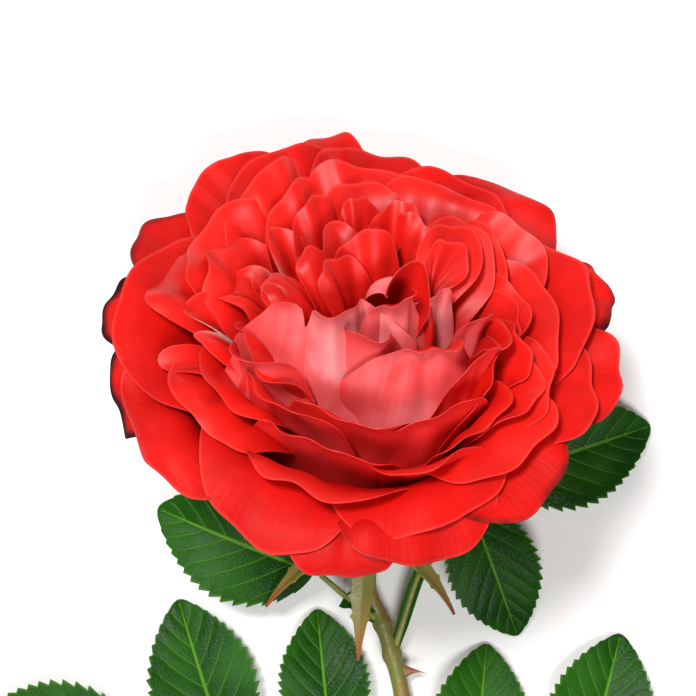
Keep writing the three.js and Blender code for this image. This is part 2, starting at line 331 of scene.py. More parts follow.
def make_petal_tint_group():
    """A petal's colour: the face, the back, both darkened towards the base by painted shade, the pale pink
    outside that is partly a painted sheen, the white claw and streaks, a thin painted highlight along the
    rim and the scorched edge."""
    tree, given, out = new_group("petal tint", {
        "Face": (0.8, 0.01, 0.006, 1), "Back": (0.85, 0.1, 0.1, 1), "Claw": (0.92, 0.78, 0.68, 1),
        "Rim Highlight": (0.95, 0.13, 0.11, 1), "Scorch": (0.03, 0.002, 0.004, 1), "Deep Red And Shade": (0.36, 0.001, 0.001, 1),
        "Pink And Sheen": (0.95, 0.35, 0.36, 1),
    }, {"Colour": "NodeSocketColor", "Burnt": "NodeSocketFloat", "Relief": "NodeSocketFloat"})
    outside = attribute(tree, "outside")
    along = attribute(tree, "along")
    rim = attribute(tree, "rim")
    burn = attribute(tree, "burn")
    pink_and_sheen = attribute(tree, "pink_and_sheen")
    streak = attribute(tree, "streak")
    fan = use_group(tree, VEIN_FAN, Count=22.0, Length=1.4)
    cloud = use_group(tree, MOTTLE, Size=55.0, Amount=0.5, Grain=1400.0)
    face = mix_colour(tree, ramp(tree, cloud["Cloud"], 0.35, 0.65, 0.0, 0.45), given["Face"], given["Deep Red And Shade"])
    veined = ramp(tree, fan["Veins"], 0.35, 0.7, 0.0, 0.4)
    veined_back = mix_colour(tree, veined, given["Back"], given["Face"])
    colour = mix_colour(tree, outside, face, veined_back)
    # Painted shade: the colour darkens towards the base, fully on the faces and less on the outsides, where
    # shade falls between the petals.
    painted_base_shade = product(tree, ramp(tree, along, 0.98, 0.6, 0.0, 0.85), ramp(tree, outside, 0.0, 1.0, 1.0, 0.4))
    colour = mix_colour(tree, painted_base_shade, colour, given["Deep Red And Shade"])
    # Pale pink outside: partly the petals' paler backs and partly a painted sheen highlight, strongest low
    # in the middle and fading to the sides and the rim.
    pale = product(tree, pink_and_sheen, outside, ramp(tree, fan["Veins"], 0.3, 0.7, 1.0, 0.8),
                   ramp(tree, cloud["Cloud"], 0.35, 0.6, 0.35, 1.0))
    colour = mix_colour(tree, pale, colour, given["Pink And Sheen"])
    claw = product(tree, ramp(tree, along, 0.15, 0.03), ramp(tree, fan["Veins"], 0.3, 0.6, 1.0, 0.55))
    colour = mix_colour(tree, math_node(tree, "MAXIMUM", claw, streak), colour, given["Claw"])
    # Painted highlight: a thin pale line along every petal's rim, where the edge catches the light.
    thin = product(tree, ramp(tree, rim, 0.985, 1.0), 0.22)
    colour = mix_colour(tree, thin, colour, given["Rim Highlight"])
    uneven = product(tree, math_node(tree, "SUBTRACT", cloud["Cloud"], 0.5), 0.9)
    ragged = math_node(tree, "ADD", burn, uneven)
    burnt = product(tree, ramp(tree, ragged, 0.35, 0.75), ramp(tree, burn, 0.02, 0.2))
    colour = mix_colour(tree, burnt, colour, given["Scorch"])
    relief = math_node(tree, "ADD", product(tree, fan["Veins"], 0.6), product(tree, fan["Ripples"], 0.4))
    tree.links.new(colour, out["Colour"])
    tree.links.new(burnt, out["Burnt"])
    tree.links.new(relief, out["Relief"])
    return tree


PETAL_TINT = make_petal_tint_group()


def petal_material(name, glow, relief, shine, rough, **tints):
    """A velvety petal: a tinted Principled surface mixed with red light passing through."""
    material, tree, output = new_material(name)
    tint = use_group(tree, PETAL_TINT, **tints)
    bump = add(tree, "ShaderNodeBump", {"Height": tint["Relief"], "Strength": relief, "Distance": 0.0004})
    surface = add(tree, "ShaderNodeBsdfPrincipled", {
        "Base Color": tint["Colour"], "Roughness": ramp(tree, tint["Burnt"], 0.0, 1.0, rough, 0.8),
        "Specular IOR Level": shine, "Normal": bump.outputs[0]})
    through = add(tree, "ShaderNodeBsdfTranslucent", {"Color": (0.9, 0.01, 0.008, 1)})
    both = add(tree, "ShaderNodeMixShader", {0: glow, 1: surface.outputs[0], 2: through.outputs[0]})
    tree.links.new(both.outputs[0], output.inputs["Surface"])
    return material


# The guards' face is a darker red than the heart's: partly the outer petals' own deeper red and partly
# painted shade.
GUARD_RED = petal_material("guard petal", glow=0.1, relief=0.6, shine=0.16, rough=0.55,
                           Face=(0.78, 0.007, 0.004, 1), Back=(0.42, 0.009, 0.02, 1))
HEART_RED = petal_material("heart petal", glow=0.14, relief=0.14, shine=0.28, rough=0.42,
                           Face=(0.92, 0.016, 0.01, 1), Back=(0.9, 0.022, 0.02, 1))


# ---- Petals --------------------------------------------------------------------------------------

PETAL_ROWS, PETAL_COLUMNS = 40, 52
PLEAT = 0.14  # how deep the fine pleats are on the outermost petals
SEAT_OUT = (2.3, 5.7)  # the claw's distance from the axis: innermost, and how much more for the outermost
SEAT_UP = (7.2, -7.2)  # and its height
WIDEST_SEAT = 7.5


def drifted(p):
    """Bends the whole bloom by slow sine waves that grow with height, so that neighbouring petals bend
    together."""
    x, y, z = p[..., 0], p[..., 1], p[..., 2]
    grow = smooth(z, 12, 52)
    shift = np.stack([
        1.5 * np.sin(x / 13 + y / 19 + 0.6) + 0.9 * np.sin(y / 7.5 - z / 16 + 2.0),
        1.5 * np.sin(y / 12 - x / 17 + 1.9) + 0.9 * np.sin(x / 7.0 + z / 15 + 0.4),
        1.2 * np.sin(x / 10 + 1.0) * np.sin(y / 11 + 0.3) + 0.6 * np.sin(x / 5.2 - y / 6.1),
    ], -1)
    return p + grow[..., None] * shift


def petal_grid(turn, span, reach, height, rise, centre=(0, 0), stretch=1.0, tuck=2.0, round_off=0.22,
               notch=0.0, notch_at=0.0, lip=0.1, curl=45, ruffle=0.7, waves=1.5, side_roll=1.2, keel=0.0,
               leave=None, seat=0.0, cover=0.34, hold=1.2, crumple=0.3, seed=0):
    """Points of one petal in the bloom's frame. At each angle its profile is a cubic Bezier from the
    claw's seat to the rim, which it meets at the slope rise, then a circular lip that turns by curl, all
    ending at the reach. The angular width grows from the claw by a quarter sine. The petal ends at 1 -
    round_off |u|^2.8 less a notch, and sine ruffles, dents and fine pleats, a keel and rolled sides push
    it along its normal."""
    u = np.linspace(-1, 1, PETAL_COLUMNS)[None, :]
    v = np.linspace(0, 1, PETAL_ROWS)[:, None]
    phase = np.random.default_rng(seed + 100).uniform(0, TAU, 6)
    outline = 1 - round_off * np.abs(u) ** 2.8 - notch * np.exp(-(((u - notch_at) / 0.13) ** 2))
    outline = outline + 0.012 * np.sin(4.3 * u + phase[0]) + 0.006 * np.sin(12.0 * u + phase[1])
    vv = v * outline
    widen = cover + (1 - cover) * np.sin(0.5 * math.pi * np.minimum(1, v / 0.72))
    angle = math.radians(turn) + math.radians(span) * widen * u
    level = reach / BLOOM_RADIUS
    seat_r = max(SEAT_OUT[0] + SEAT_OUT[1] * level, min(seat * reach, WIDEST_SEAT))
    seat_z = SEAT_UP[0] + SEAT_UP[1] * level
    leave = math.radians(82 - 74 * level if leave is None else leave)
    back = np.sin(angle)
    slope = np.radians(rise + 14 * (back - math.sin(math.radians(turn))))
    lip_run = lip * math.hypot(reach - seat_r, BLOOM_DEPTH * height - seat_z)
    rim_r = reach - 0.8 * lip_run * np.cos(slope) - tuck * u * v
    rim_z = BLOOM_DEPTH * (height + 0.27 * level * back) - 0.6 * lip_run * np.sin(slope)
    chord = np.hypot(rim_r - seat_r, rim_z - seat_z)
    p1 = (seat_r + 0.55 * chord * math.cos(leave), seat_z + 0.55 * chord * math.sin(leave))
    p2 = (rim_r - 0.42 * chord * np.cos(slope), rim_z - 0.42 * chord * np.sin(slope))
    t = np.minimum(vv / (1 - lip), 1)
    mix = (1 - t) ** 3, 3 * t * (1 - t) ** 2, 3 * t * t * (1 - t), t**3
    r = mix[0] * seat_r + mix[1] * p1[0] + mix[2] * p2[0] + mix[3] * rim_r
    z = mix[0] * seat_z + mix[1] * p1[1] + mix[2] * p2[1] + mix[3] * rim_z
    turned = np.radians(curl * (1 + 0.5 * np.sin(2.1 * u + phase[2]) + 0.2 * np.sin(6.1 * u + phase[3])))
    bend = turned / lip_run
    bend = np.where(np.abs(bend) < 1e-4, 1e-4, bend)
    w = np.maximum(vv - (1 - lip), 0) / lip * lip_run
    r = r + (np.sin(slope) - np.sin(slope - bend * w)) / bend
    z = z + (np.cos(slope - bend * w) - np.cos(slope)) / bend
    wave = np.sin(waves * math.pi * u + phase[4]) + 0.35 * np.sin(2.7 * waves * math.pi * u + phase[5])
    out = ruffle * wave * smooth(vv, 0.55, 1.0) ** 1.3
    out = out - keel * np.exp(-((u / 0.2) ** 2)) * smooth(vv, 0.2, 0.9)
    out = out + side_roll * smooth(np.abs(u), 0.7, 1.0) ** 1.5 * smooth(vv, 0.3, 0.8)
    dent = np.sin(3.3 * u + phase[1]) * np.sin(7 * v + phase[2])
    dent = dent + 0.5 * np.sin(6.1 * u + phase[3]) * np.sin(11 * v + phase[4])
    out = out + crumple * dent * smooth(vv, 0.3, 0.6)
    pleat = np.sin(15 * u + 1.5 * np.sin(4 * v + phase[2]) + phase[0])
    out = out + PLEAT * level * pleat * smooth(vv, 0.15, 0.5)
    r = r + out * np.sin(slope) + 0.2 * out
    z = z - out * np.cos(slope) * 0.8
    x = r * np.cos(angle) + centre[0] * vv**hold
    y = stretch * r * np.sin(angle) + centre[1] * vv**hold
    return np.stack([x, y, z], -1), vv, u, v


def petal(name, material, burn=0.0, pink_and_sheen=0.0, streak=0.0, thickness=0.3, **shape):
    """One petal: a closed sheet that thins to its rim, with the values that its material reads."""
    p, vv, u, v = petal_grid(**shape)
    p = to_table(drifted(p))
    side = np.abs(np.broadcast_to(u, p.shape[:2]))
    edge = np.maximum(np.broadcast_to(v, p.shape[:2]), side * smooth(v, 0.25, 0.6))
    body = thickness * (1 - 0.55 * smooth(edge, 0.85, 1.0))
    # Where the pale pink goes: partly the paler back, partly a painted sheen that fades towards the sides
    # and the rim as a highlight would.
    pink_and_sheen_mask = smooth(vv, 0.45, 0.8) * (1 - 0.5 * smooth(vv, 0.85, 1.0)) * (1 - 0.7 * np.abs(u) ** 3)
    at_notch = np.exp(-(((u - shape.get("notch_at", 0.0)) / 0.1) ** 2))
    piece = sheet_piece(name, p, body, [material], {
        "along": vv, "across": u, "rim": edge, "burn": burn * smooth(v + 0.04 * u**2, 0.92, 1.02),
        "pink_and_sheen": pink_and_sheen * pink_and_sheen_mask, "streak": streak * at_notch * smooth(v, 0.62, 0.88)})
    return piece


# Each row is one petal: its direction round the axis in degrees (90 is the far side, 180 the left and
# 270 the near side by the stem), half its width in degrees, its reach from the axis in mm, its height as a
# share of the bloom's depth, the slope of its rim in degrees, and what else is special about it.
GUARDS = [
    (189, 16, 60.0, 0.90, -4, dict(curl=60, burn=0.8, ruffle=1.0)),
    (170, 14, 61.0, 0.92, 6, dict(curl=20, burn=0.9)),
    (149, 18, 60.0, 0.93, 16, dict(curl=20, burn=0.6)),
    (128, 21, 59.0, 0.95, 28, dict(curl=10, burn=0.15, ruffle=0.8, waves=3)),
    (116, 14, 57.5, 0.95, 30, dict(burn=0.35)),
    (101, 16, 58.5, 0.96, 34, dict(ruffle=1.0)),
    (51, 23, 56.5, 0.95, 26, dict(burn=0.45, ruffle=0.9)),
    (20, 17, 57.0, 0.92, 14, dict(burn=0.7, waves=3)),
    (356, 20, 58.0, 0.92, 6, dict(curl=-20, burn=0.5, ruffle=0.9, round_off=0.3)),
    (318, 27, 50.5, 0.92, -12, dict(curl=45, burn=0.6)),
    (286, 26, 51.0, 0.90, -34, dict(curl=50, burn=0.45, ruffle=1.0)),
    (204, 32, 58.5, 0.94, -8, dict(curl=85, lip=0.07, burn=0.1)),
    (172, 35, 56.0, 0.98, 10, dict(curl=10, ruffle=0.5)),
    (240, 33, 52.0, 0.94, -22, dict(curl=25, tuck=3.5, burn=0.1)),
    (288, 33, 46.5, 0.96, -18, dict(curl=20)),
    (350, 25, 51.5, 0.96, 10, dict(curl=10, ruffle=0.5)),
    (16, 29, 51.5, 0.99, 22, dict(curl=10, ruffle=0.4)),
    (90, 25, 53.0, 0.99, 38, dict(ruffle=0.8)),
    (64, 28, 49.0, 1.00, 34, dict(curl=20, ruffle=1.8, waves=1.7)),
    (114, 28, 53.5, 0.99, 34, dict(curl=30, ruffle=1.2)),
    (264, 19, 53.0, 0.86, -40, dict(curl=55, burn=0.4, ruffle=0.9)),
]
INNER = [
    (318, 33, 43.5, 1.01, 4, dict(curl=15, tuck=-3, notch=0.1, notch_at=0.8, leave=36)),
    (206, 30, 45.0, 1.01, 16, dict(curl=30, ruffle=0.9)),
    (254, 37, 41.0, 1.05, 52, dict(lip=0.13, curl=85, tuck=2.5, side_roll=0.6, pink_and_sheen=0.14, leave=50)),
    (169, 27, 49.0, 1.04, 20, dict(lip=0.16, curl=50, ruffle=2.0, waves=1.6, notch=0.25, notch_at=0.3)),
    (146, 24, 46.0, 1.04, 34, dict(curl=40, ruffle=1.4, tuck=4)),
    (127, 24, 47.0, 1.03, 42, dict(ruffle=1.3, tuck=6)),
    (66, 32, 43.5, 1.04, 46, dict(ruffle=1.2)),
    (94, 30, 45.5, 1.04, 48, dict(ruffle=0.9)),
    (36, 26, 44.5, 1.02, 38, dict(curl=25)),
    (8, 36, 42.5, 1.02, 30, dict(curl=10, ruffle=0.6)),
    (341, 30, 40.5, 1.02, 24, dict(curl=15, ruffle=0.9)),
    (152, 22, 38.0, 1.06, 46, dict(curl=90, lip=0.14, ruffle=1.0)),
    (176, 26, 37.5, 1.06, 40, dict(curl=30, ruffle=1.4, notch=0.14, streak=1.0)),
    (207, 34, 37.0, 1.04, 40, dict(curl=25)),
    (122, 21, 40.0, 1.05, 54, dict(curl=30, ruffle=1.0, tuck=7)),
    (98, 30, 38.0, 1.06, 60, dict(curl=20)),
    (334, 34, 36.5, 1.04, 40, dict(curl=20, ruffle=0.9)),
    (286, 32, 34.5, 1.05, 62, dict(curl=40, lip=0.08, tuck=-5, leave=50)),
    (252, 36, 33.5, 1.07, 66, dict(curl=35, ruffle=0.9, pink_and_sheen=0.04, leave=50)),
    (314, 28, 33.0, 1.06, 58, dict(curl=40, leave=50)),
    (352, 24, 33.5, 1.05, 56, dict(curl=20)),
    (14, 24, 35.0, 1.05, 52, dict(curl=20)),
]
RIGHT_SWIRL = (14, 5)  # the axis that the right-hand petals of the heart curl round
HEART = [
    (230, 33, 30.0, 1.09, 70, dict(curl=45, pink_and_sheen=0.14)),
    (262, 38, 26.0, 1.10, 74, dict(curl=35, pink_and_sheen=0.06)),
    (298, 34, 27.0, 1.09, 72, dict(curl=30, pink_and_sheen=0.05, tuck=-4)),
    (334, 30, 28.0, 1.07, 66, dict(curl=20)),
    (200, 34, 27.0, 1.09, 52, dict(curl=50, ruffle=1.2)),
    (156, 17, 33.0, 1.08, 44, dict(curl=80, lip=0.14, ruffle=1.0)),
    (138, 20, 32.0, 1.08, 50, dict(notch=0.15, notch_at=0.2, streak=0.8, ruffle=1.2)),
    (116, 20, 35.5, 1.07, 54, dict(curl=25, ruffle=0.9, tuck=7)),
    (99, 15, 33.0, 1.08, 58, dict(curl=20, tuck=3)),
    (82, 20, 30.0, 1.09, 60, dict(curl=20, ruffle=1.0)),
    (122, 28, 25.5, 1.11, 48, dict(notch=0.08, ruffle=0.8, tuck=5)),
    (150, 30, 24.0, 1.11, 44, dict(notch=0.2, notch_at=-0.3, streak=1.0, tuck=4)),
    (165, 27, 21.0, 1.12, 46, dict(curl=100, lip=0.14)),
    (100, 32, 20.0, 1.12, 60, dict(curl=30)),
    (66, 26, 26.0, 1.10, 62, dict(curl=20, tuck=-7)),
    (128, 40, 14.0, 1.14, 60, dict(curl=30)),
    (58, 62, 21.5, 1.06, 40, dict(centre=RIGHT_SWIRL, stretch=1.3, curl=25, ruffle=1.1)),
    (355, 40, 19.5, 1.06, 46, dict(centre=RIGHT_SWIRL, curl=15)),
    (62, 62, 17.5, 1.11, 38, dict(centre=RIGHT_SWIRL, stretch=1.35, curl=10)),
    (66, 66, 13.5, 1.15, 34, dict(centre=RIGHT_SWIRL, stretch=1.35, curl=10)),
    (60, 70, 8.5, 1.17, 36, dict(centre=RIGHT_SWIRL, stretch=1.3, curl=10)),
    (268, 60, 6.0, 1.14, 88, dict(centre=(15, 9), curl=30, pink_and_sheen=0.9)),
    (290, 60, 7.0, 1.11, 86, dict(centre=(23, 6), curl=30, pink_and_sheen=0.4)),
    (322, 60, 9.0, 1.09, 76, dict(centre=(21, 0), curl=30, pink_and_sheen=0.3)),
    (70, 44, 8.0, 1.12, 52, dict(centre=(-2, 18), curl=90, lip=0.12)),
    (130, 44, 7.0, 1.11, 56, dict(centre=(3, 21), curl=80, lip=0.12)),
    (70, 75, 10.0, 1.20, 80, dict(centre=(3, -1), curl=-125, lip=0.2, pink_and_sheen=0.8)),
    (300, 45, 12.0, 1.12, 88, dict(centre=(17, -3), curl=30, pink_and_sheen=0.1, leave=50)),
    (276, 58, 11.0, 1.17, 98, dict(centre=(11, 0), curl=60, pink_and_sheen=0.7, leave=44, crumple=1.2, ruffle=1.2)),
    (266, 66, 9.0, 1.16, 95, dict(centre=(-1, 0), curl=60, pink_and_sheen=0.35, leave=54, ruffle=1.2, crumple=1.0)),
    (285, 50, 8.0, 1.24, 92, dict(centre=(3, 5), curl=50, pink_and_sheen=0.5)),
    (234, 44, 15.0, 1.12, 84, dict(centre=(-15, -2), curl=40, pink_and_sheen=0.5, leave=38, crumple=1.0)),
    (262, 60, 14.0, 1.26, 98, dict(centre=(-7, 9), curl=60, pink_and_sheen=1.0, ruffle=1.9, waves=2.2, notch=0.12,
                                   notch_at=-0.35, leave=42, crumple=1.3, keel=-1.2)),
]
HEART_BASE = dict(seat=0.5, cover=0.6, hold=0.6, crumple=0.6)  # what the heart's petals share


def make_bloom():
    """All the petals, one piece for each row of the three tables; the CAD petals are hidden."""
    rings = (GUARDS, {}, "guard_petal", GUARD_RED), (INNER, {}, "inner_petal", HEART_RED), (
        HEART, HEART_BASE, "heart_petal", HEART_RED)
    for ring, (rows, base, label, material) in enumerate(rings):
        for k, (*place, more) in enumerate(rows):
            shape = {**base, **more, **dict(zip(("turn", "span", "reach", "height", "rise"), place))}
            piece = petal(f"{label}_{k + 1:02d}", material, seed=40 * ring + k, **shape)
            points = np.empty(3 * len(piece.data.vertices), np.float32)
            piece.data.vertices.foreach_get("co", points)
            points = points.reshape(-1, 3)
    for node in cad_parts:
        if node.startswith("petal"):
            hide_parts(node)


make_bloom()


# ---- Leaves, stem, hip, sepals and stamens -------------------------------------------------------

def make_leaf_material(name, dark, light, vein, glow):
    """A glossy leaf: mottled green, paler along the midrib and side veins, with a thin yellow-green
    edge."""
    material, tree, output = new_material(name)
    cloud = use_group(tree, MOTTLE, Colour=dark, Other_Colour=light, Size=70.0, Amount=0.7, Grain=1800.0)
    across = math_node(tree, "ABSOLUTE", attribute(tree, "across"))
    rib = attribute(tree, "rib")
    wave = math_node(tree, "ABSOLUTE", math_node(tree, "SINE", product(tree, rib, math.pi)))
    side = product(tree, ramp(tree, wave, 0.22, 0.03), ramp(tree, across, 1.0, 0.5), 0.55)
    midrib = ramp(tree, across, 0.055, 0.012)
    lines = math_node(tree, "MAXIMUM", midrib, side)
    colour = mix_colour(tree, lines, cloud["Colour"], vein)
    colour = mix_colour(tree, ramp(tree, across, 0.93, 1.0, 0.0, 0.5), colour, vein)
    under = mix_colour(tree, 0.5, colour, (0.25, 0.36, 0.18, 1))
    colour = mix_colour(tree, attribute(tree, "outside"), under, colour)
    place = add(tree, "ShaderNodeTexCoord").outputs["Object"]
    cells = add(tree, "ShaderNodeTexVoronoi", {"Vector": place, "Scale": 900.0}, feature="DISTANCE_TO_EDGE")
    raised = product(tree, ramp(tree, cells.outputs[0], 0.0, 0.3), 0.35)
    height = math_node(tree, "SUBTRACT", raised, lines)
    bump = add(tree, "ShaderNodeBump", {"Height": height, "Strength": 0.3, "Distance": 0.0004})
    surface = add(tree, "ShaderNodeBsdfPrincipled", {
        "Base Color": colour, "Roughness": ramp(tree, cloud["Cloud"], 0.3, 0.7, 0.38, 0.52),
        "Specular IOR Level": 0.17, "Normal": bump.outputs[0]})
    through = add(tree, "ShaderNodeBsdfTranslucent", {"Color": (0.12, 0.4, 0.03, 1)})
    both = add(tree, "ShaderNodeMixShader", {0: glow, 1: surface.outputs[0], 2: through.outputs[0]})
    tree.links.new(both.outputs[0], output.inputs["Surface"])
    return material


def make_stem_material(name, green, red, red_share):
    """Bark that is olive green with red-brown clouds, and redder towards the tips of its prickles."""
    material, tree, output = new_material(name)
    cloud = use_group(tree, MOTTLE, Colour=green, Other_Colour=red, Size=120.0, Amount=red_share,
                      Grain=1500.0)
    colour = mix_colour(tree, attribute(tree, "tip"), cloud["Colour"], (0.32, 0.03, 0.015, 1))
    height = math_node(tree, "ADD", cloud["Grain"], product(tree, cloud["Cloud"], 0.5))
    bump = add(tree, "ShaderNodeBump", {"Height": height, "Strength": 0.4, "Distance": 0.0003})
    surface = add(tree, "ShaderNodeBsdfPrincipled", {
        "Base Color": colour, "Roughness": ramp(tree, cloud["Grain"], 0.3, 0.7, 0.36, 0.5),
        "Normal": bump.outputs[0]})
    tree.links.new(surface.outputs[0], output.inputs["Surface"])
    return material


LEAF_GREEN = make_leaf_material("leaf", dark=(0.004, 0.045, 0.0004, 1), light=(0.018, 0.12, 0.001, 1),
                                vein=(0.07, 0.24, 0.006, 1), glow=0.12)
BARK = make_stem_material("stem bark", (0.16, 0.19, 0.03, 1), (0.26, 0.11, 0.03, 1), 0.7)
STALK_BARK = make_stem_material("leaf stalk", (0.19, 0.26, 0.04, 1), (0.24, 0.14, 0.04, 1), 0.4)
CALYX_SKIN = make_stem_material("calyx", (0.2, 0.27, 0.03, 1), (0.24, 0.1, 0.02, 1), 0.3)
ANTHERS = make_stem_material("stamens", (0.45, 0.24, 0.04, 1), (0.3, 0.12, 0.02, 1), 0.6)


def leaflet(node, base, heading, length, width, lift, arch, fold=0.16, teeth=15, seed=0):
    """A toothed leaflet. Half its width is w = sin(pi v^0.8)^0.7 (1 - 0.12 v) with a sawtooth that points
    to the tip. It is arched by a half sine, folded along the midrib, puffed between its side veins and
    gently waved."""
    u = np.linspace(-1, 1, 31)[None, :]
    v = np.linspace(0, 1, 181)[:, None]
    phase = np.random.default_rng(seed + 500).uniform(0, TAU, 3)
    half = 0.5 * width * (np.sin(math.pi * v**0.8) ** 0.7 * (1 - 0.12 * v) + 0.012)
    saw = (v * teeth + 0.2 * np.sin(7 * v + phase[0])) % 1.0
    toothed = half * (1 + (0.11 * saw - 0.05) * np.abs(u) ** 6)
    along = length * (v + 0.05 * np.abs(u) ** 1.5 * np.sin(math.pi * v))
    rib = 7.5 * (v + 0.12) - 2.6 * np.abs(u) * (0.35 + 0.65 * np.sin(math.pi * v))
    puff = 0.4 * np.abs(np.sin(math.pi * rib)) ** 0.7 * np.abs(u) ** 0.5 * (1 - np.abs(u) ** 3)
    wave = 0.9 * np.sin(9 * v + phase[1] + 1.6 * np.sign(u)) * u**2 * np.sin(math.pi * v)
    rise = lift * v + arch * np.sin(math.pi * v) + fold * np.abs(u) * half + puff + wave
    a = math.radians(heading)
    x = base[0] + (0.9 + along) * math.cos(a) + toothed * u * math.sin(a)
    y = base[1] + (0.9 + along) * math.sin(a) - toothed * u * math.cos(a)
    z = np.maximum(base[2] + rise, 0.35 + 0.15 * np.abs(u))
    p = np.stack(np.broadcast_arrays(x, y, z), -1)
    piece = sheet_piece(node.replace("leaflet", "blade"), p, 0.35, [LEAF_GREEN],
                        {"across": u, "along": v, "rib": rib})
    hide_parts(node)


def swept_piece(name, parts, material, node, tip=None):
    """A piece joined from swept parts, with how far each point is towards a tip. It stands for one CAD
    node."""
    verts, faces, share = joined(parts)
    piece = make_object(name, verts, faces, [material],
                        {"along": share, "tip": np.zeros(len(verts)) if tip is None else tip})
    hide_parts(node)


NECK = to_table(np.array([0, 0, -14.4]))
NECK_RADIUS, CUT_RADIUS, STEM_LENGTH = 1.8, 2.7, 150
STEM_PATH = smooth_path([
    NECK,
    NECK - 5 * BLOOM_AXES[2],
    NECK + (3.5, -13.5, -0.55 * NECK[2]),
    (NECK[0] + 8, NECK[1] - 30, CUT_RADIUS + 1.6),
    (NECK[0] + 9, NECK[1] - 57, CUT_RADIUS + 1.2),
    (NECK[0] + 5, NECK[1] - 0.68 * STEM_LENGTH, CUT_RADIUS + 1.4),
    (NECK[0] + 7, NECK[1] - STEM_LENGTH, CUT_RADIUS),
], 240)
STEM_RUN = np.linalg.norm(np.diff(STEM_PATH, axis=0), axis=1).sum()
LEAFLET_LENGTH, LEAFLET_WIDTH, STALK_RADIUS = 38, 27, 0.75
LEAF_AT = dict(left_upper=15, right_upper=23, left=37, right=61)  # mm down the stem


def stem_point(distance):
    """The point on the stem's middle line at a distance in mm from its top."""
    return STEM_PATH[int(round(distance / STEM_RUN * (len(STEM_PATH) - 1)))]


def prickle(distance, roll, radius):
    """A curved horn: rings that shrink from a long foot on the bark to a point turned towards the cut
    end."""
    k = int(distance / STEM_RUN * (len(STEM_PATH) - 1))
    tangent, side, up = (f[k] for f in path_frames(STEM_PATH))
    a = math.radians(roll)
    out = -side * math.cos(a) + up * math.sin(a)
    across = np.cross(tangent, out)
    t = np.linspace(0, 1, 9)[:, None]
    height = 0.5 * radius + 5
    centres = STEM_PATH[k] + out * (0.5 * radius + height * t) + tangent * 0.32 * height * t * t
    return swept(centres, across * (0.95 * (1 - t) ** 1.3 + 0.05), tangent * (2.3 * (1 - t) ** 2 + 0.05), 10)


def make_stem():
    """The stem: a bar that thickens to the cut, swells where a leaf leaves it, and carries prickles."""
    share = np.linspace(0, 1, len(STEM_PATH))
    radius = NECK_RADIUS + (CUT_RADIUS - NECK_RADIUS) * share
    for distance in LEAF_AT.values():
        radius = radius + 0.6 * np.exp(-(((share * STEM_RUN - distance) / 1.8) ** 2))
    bare = LEAF_AT["right"]
    lower = (0.05, 165), (0.2, 20), (0.43, 140), (0.57, -15), (0.8, 185)
    places = [(0.75 * LEAF_AT["left"], 8)] + [(bare + f * (STEM_RUN - bare), roll) for f, roll in lower]
    parts = [tube(STEM_PATH, radius, 20)] + [prickle(at, roll, 2.2) for at, roll in places]
    tips = np.concatenate([np.zeros(len(parts[0][0]))] + [s**0.6 for _, _, s in parts[1:]])
    swept_piece("thorny_stem", parts, BARK, "stem", tips)


def stipule(path, side_of):
    """A pointed wing along the foot of a leaf stalk: a thin sheet from the stalk out to a half-sine edge
    and a horn."""
    u = np.linspace(0, 1, 9)[None, :]
    v = np.linspace(0, 1, 31)[:, None]
    _, side, up = path_frames(path)
    k = np.linspace(0, 0.62 * (len(path) - 1), 31).astype(int)
    wide = 1.3 * np.sin(math.pi * v) ** 0.5 + 2.2 * smooth(v, 0.7, 1.0) * (1 - smooth(v, 0.97, 1.0))
    reach = (0.3 + wide * u)[..., None]
    lift = (0.3 + 0.35 * u * wide)[..., None]
    p = path[k][:, None] + side_of * side[k][:, None] * reach + up[k][:, None] * lift
    return p if side_of > 0 else p[:, ::-1]


def make_leaf(name, start, route, leaflets):
    """A whole leaf: a stalk from the stem through its points, with two wings at its foot, and its
    leaflets."""
    path = smooth_path([start] + list(route), 60)
    t = np.linspace(0, 1, 60)
    stalk = tube(path, STALK_RADIUS * (1.35 - 0.5 * t), 12)
    swept_piece(f"{name}_rib", [stalk], STALK_BARK, f"{name}_stalk")
    for word, side_of in (("near", 1.0), ("far", -1.0)):
        wing = sheet_piece(f"{name}_{word}_stipule", stipule(path, side_of), 0.25, [LEAF_GREEN],
                           {"across": 0.5, "along": 0.5, "rib": 0.3})
    for k, (at, heading, size, lift, arch) in enumerate(leaflets):
        a = math.radians(heading)
        base = route[at] + STALK_RADIUS * 1.3 * np.array([math.cos(a), math.sin(a), 0])
        fold = 0.05 if size < 0.7 else 0.16
        leaflet(f"{name}_leaflet_{k + 1}", base, heading, LEAFLET_LENGTH * size, LEAFLET_WIDTH * size,
                lift, arch, fold, seed=len(name) * 7 + k)


def beside(x, y, height):
    """A point beside the bloom: shares of the bloom's radius from the top of the hip, and mm above the
    table."""
    return np.array([HIP_TOP[0] + x * BLOOM_RADIUS, HIP_TOP[1] + y * BLOOM_RADIUS, height])


def beside_stem(distance, x, y, height):
    """A point beside the stem at a distance down it: x in leaflet widths, y in leaflet lengths, height in
    mm."""
    p = stem_point(distance)
    return np.array([p[0] + x * LEAFLET_WIDTH, p[1] + y * LEAFLET_LENGTH, height])


